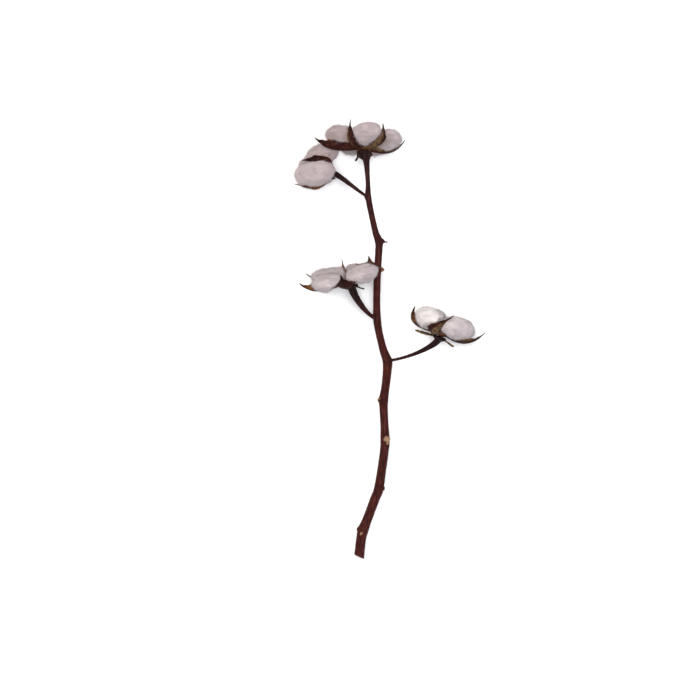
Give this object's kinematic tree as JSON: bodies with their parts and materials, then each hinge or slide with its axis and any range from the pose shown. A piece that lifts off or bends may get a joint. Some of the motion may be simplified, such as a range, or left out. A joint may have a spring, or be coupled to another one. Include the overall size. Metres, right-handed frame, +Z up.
{
  "type": "cotton stem with open bolls",
  "caption": "Cut cotton stem lying on its side, with open bolls: pointed woody burs that hold egg-shaped locks of cotton.",
  "frame": {"origin": "middle of the footprint, on the surface that the stem lies on", "axes": "+Y along the stem towards its tip, +X to the right seen from above with the tip away, +Z up"},
  "size_m": [0.1542, 0.3516, 0.0617],
  "materials": {
    "stem": "dull dark red-brown bark",
    "bur": "dry, dull brown husk",
    "cotton": "soft, matt white fibre"
  },
  "bodies": {
    "root": {"stem": "stem", "top_bur": "bur", "top_lock_1": "cotton", "top_lock_2": "cotton", "top_lock_3": "cotton", "top_lock_4": "cotton", "top_lock_5": "cotton", "upper_left_bur": "bur", "upper_left_lock_1": "cotton", "upper_left_lock_2": "cotton", "upper_left_lock_3": "cotton", "upper_left_lock_4": "cotton", "middle_left_bur": "bur", "middle_left_lock_1": "cotton", "middle_left_lock_2": "cotton", "middle_left_lock_3": "cotton", "middle_left_lock_4": "cotton", "middle_left_lock_5": "cotton", "right_bur": "bur", "right_lock_1": "cotton", "right_lock_2": "cotton", "right_lock_3": "cotton", "right_lock_4": "cotton"}
  },
  "joints": []
}
